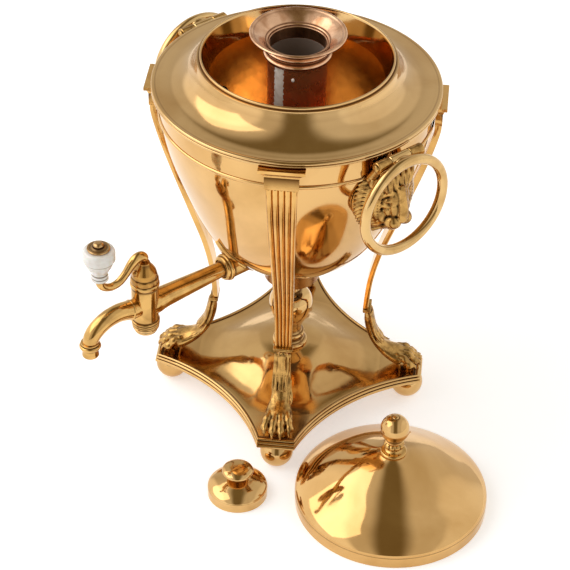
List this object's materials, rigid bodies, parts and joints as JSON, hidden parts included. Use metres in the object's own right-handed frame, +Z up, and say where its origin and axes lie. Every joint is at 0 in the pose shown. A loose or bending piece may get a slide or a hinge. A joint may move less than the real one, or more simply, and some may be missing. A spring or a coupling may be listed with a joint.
{
  "type": "samovar",
  "caption": "Brass tea urn on a square plinth with lion paw legs, lion mask ring handles, a fire tube and a lever tap; lid and chimney cap lie beside it.",
  "frame": {"origin": "middle of the whole set's box, on the table", "axes": "+Z up; the tap points along -Y; the ring handles hang at +X and -X of the urn's axis"},
  "size_m": [0.3796, 0.3292, 0.3578],
  "materials": {
    "brass": "polished, lightly worn",
    "pale_brass": "polished",
    "cast_brass": "cast and chased, darker in the hollows",
    "copper": "copper, darkened by the fire",
    "flare_copper": "pale copper alloy, satin",
    "iron": "dark iron",
    "porcelain": "white glazed porcelain"
  },
  "bodies": {
    "urn": {"plinth": "brass", "bowl": "brass", "bowl_bead": "pale_brass", "stem": "brass", "tie_bolt": "iron", "tie_nut": "iron", "fire_tube": "copper", "grate": "iron", "chimney_flare": "flare_copper", "shoulder": "pale_brass", "tap_shield": "brass", "tap_body": "brass", "ball_foot_front_right": "brass", "paw_front_right": "cast_brass", "leg_front_right": "brass", "leg_screw_front_right": "iron", "ball_foot_back_right": "brass", "paw_back_right": "cast_brass", "leg_back_right": "brass", "leg_screw_back_right": "iron", "ball_foot_back_left": "brass", "paw_back_left": "cast_brass", "leg_back_left": "brass", "leg_screw_back_left": "iron", "ball_foot_front_left": "brass", "paw_front_left": "cast_brass", "leg_front_left": "brass", "leg_screw_front_left": "iron", "lion_mask_right": "cast_brass", "mask_nut_right": "iron", "hinge_pin_right": "brass", "lion_mask_left": "cast_brass", "mask_nut_left": "iron", "hinge_pin_left": "brass"},
    "tap_key": {"tap_plug": "brass", "plug_washer": "brass", "plug_nut": "brass", "tap_lever": "brass", "lever_knob": "porcelain", "knob_cap": "brass"},
    "ring_right": {"ring_handle_right": "pale_brass"},
    "ring_left": {"ring_handle_left": "pale_brass"},
    "lid": {"lid": "brass", "lid_collar": "brass", "lid_finial": "brass", "lid_nut": "iron"},
    "cap": {"chimney_cap": "brass", "cap_knob": "brass"}
  },
  "joints": [
    {"name": "tap_turn", "type": "hinge", "parent": "urn", "child": "tap_key", "pos_m": [-0.055, -0.10203, 0.1608], "axis": [0, 0, 1], "range_deg": [-90, 90]},
    {"name": "ring_right_swing", "type": "hinge", "parent": "urn", "child": "ring_right", "pos_m": [0.0664, 0.04947, 0.3046], "axis": [0, -1, 0], "range_deg": [0, 80]},
    {"name": "ring_left_swing", "type": "hinge", "parent": "urn", "child": "ring_left", "pos_m": [-0.1764, 0.04947, 0.3046], "axis": [0, 1, 0], "range_deg": [0, 80]},
    {"name": "lid_lift", "type": "slide", "parent": "urn", "child": "lid", "axis": [0, 0, 1], "range_m": [0, 0.1]},
    {"name": "cap_lift", "type": "slide", "parent": "urn", "child": "cap", "axis": [0, 0, 1], "range_m": [0, 0.1]}
  ]
}
